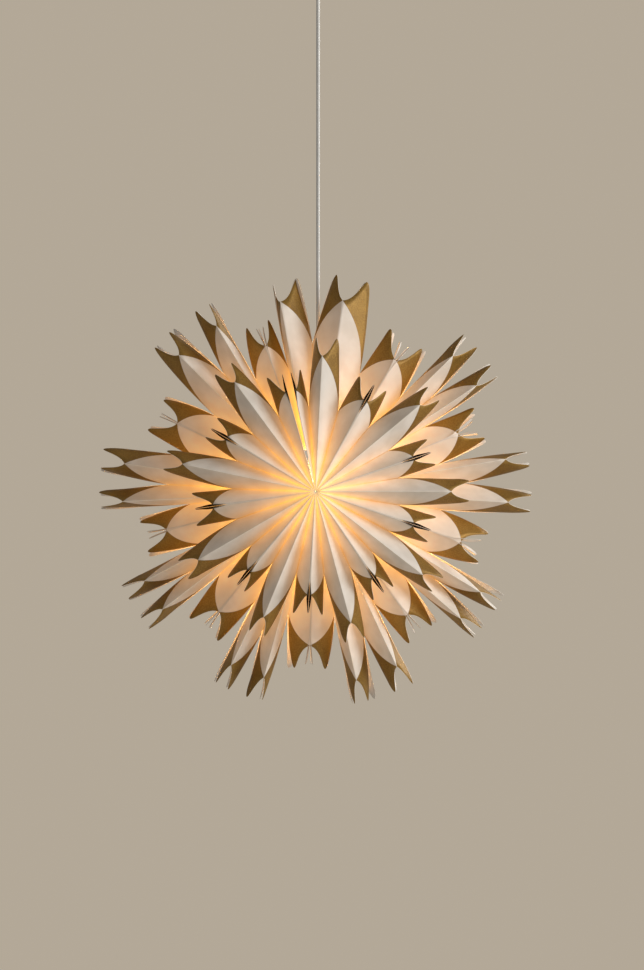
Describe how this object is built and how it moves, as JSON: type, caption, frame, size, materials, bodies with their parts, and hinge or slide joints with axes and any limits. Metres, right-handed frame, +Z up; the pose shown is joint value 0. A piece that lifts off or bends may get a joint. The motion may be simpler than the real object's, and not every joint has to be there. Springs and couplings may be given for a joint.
{
  "type": "pleated paper star pendant",
  "caption": "Star pendant of pleated paper bags with gold-printed wing tips, lit from inside and hung by a round cord under a ceiling cup.",
  "frame": {"origin": "on the ceiling, where the line of the cord meets the bracket's upper face", "axes": "+Z up towards the ceiling, +X to the right seen from the front, the star's own axis along Y with its front towards -Y"},
  "size_m": [0.6014, 0.2356, 1.061],
  "materials": {
    "printed_paper": "satin off-white paper, its wings printed olive gold on the outside",
    "cord_sheath": "smooth round PVC",
    "white_plastic": "fine matt moulding",
    "holder_plastic": "heat-resistant white moulding",
    "clear_nylon": "natural nylon",
    "zinc_steel": "zinc-plated sheet",
    "contact_brass": "bare",
    "bulb_thread": "rolled thread shell",
    "bulb_base": "white bulb base",
    "bulb_envelope": "opal, lit warm white"
  },
  "bodies": {
    "ceiling": {"ceiling_bracket": "zinc_steel", "ceiling_cup": "white_plastic", "cup_screws": "zinc_steel", "ceiling_hook": "zinc_steel", "terminal_block": "clear_nylon"},
    "ring": {"hanger_ring": "zinc_steel"},
    "pendant": {"cord_hanger": "clear_nylon", "clamp_screw": "zinc_steel", "pendant_cord": "cord_sheath"},
    "lamp": {"holder_shell": "holder_plastic", "holder_cap": "holder_plastic", "centre_contact": "contact_brass", "lock_nut": "holder_plastic", "cord_grip": "holder_plastic", "hanger_bar": "zinc_steel", "closing_clips": "zinc_steel", "back_bag_1": "printed_paper", "back_bag_2": "printed_paper", "back_bag_3": "printed_paper", "back_bag_4": "printed_paper", "back_bag_5": "printed_paper", "back_bag_6": "printed_paper", "back_bag_7": "printed_paper", "back_bag_8": "printed_paper", "back_bag_9": "printed_paper", "front_bag_1": "printed_paper", "front_bag_2": "printed_paper", "front_bag_3": "printed_paper", "front_bag_4": "printed_paper", "front_bag_5": "printed_paper", "front_bag_6": "printed_paper", "front_bag_7": "printed_paper", "front_bag_8": "printed_paper", "front_bag_9": "printed_paper", "rim_back_sheet_1": "printed_paper", "rim_back_sheet_2": "printed_paper", "rim_back_sheet_3": "printed_paper", "rim_back_sheet_4": "printed_paper", "rim_back_sheet_5": "printed_paper", "rim_back_sheet_6": "printed_paper", "rim_back_sheet_7": "printed_paper", "rim_back_sheet_8": "printed_paper", "rim_back_sheet_9": "printed_paper", "rim_front_sheet_1": "printed_paper", "rim_front_sheet_2": "printed_paper", "rim_front_sheet_3": "printed_paper", "rim_front_sheet_4": "printed_paper", "rim_front_sheet_5": "printed_paper", "rim_front_sheet_6": "printed_paper", "rim_front_sheet_7": "printed_paper", "rim_front_sheet_8": "printed_paper", "rim_front_sheet_9": "printed_paper", "seam_walls": "printed_paper"},
    "bulb_lift": {"bulb_tip": "contact_brass"},
    "bulb": {"bulb_glass": "bulb_envelope", "bulb_collar": "bulb_base", "bulb_cap": "bulb_thread"}
  },
  "joints": [
    {"name": "hook_swing", "type": "hinge", "parent": "ceiling", "child": "ring", "pos_m": [0, 0, -0.014], "axis": [1, 0, 0], "range_deg": [-6, 6]},
    {"name": "ring_swing", "type": "hinge", "parent": "ring", "child": "pendant", "pos_m": [0, 0, -0.0229], "axis": [0, 1, 0], "range_deg": [-6, 6]},
    {"name": "star_turn", "type": "hinge", "parent": "pendant", "child": "lamp", "pos_m": [0, 0, -0.66], "axis": [0, 0, 1], "range_deg": [-180, 180]},
    {"name": "bulb_slide", "type": "slide", "parent": "lamp", "child": "bulb_lift", "axis": [0, 0, 1], "range_m": [-0.0085, 0]},
    {"name": "bulb_turn", "type": "hinge", "parent": "bulb_lift", "child": "bulb", "pos_m": [0, 0, -0.765], "axis": [0, 0, -1], "range_deg": [0, 1080]}
  ],
  "couplings": [
    {"joint": "bulb_slide", "follows": "bulb_turn", "m_per_rad": -0.00044881}
  ]
}
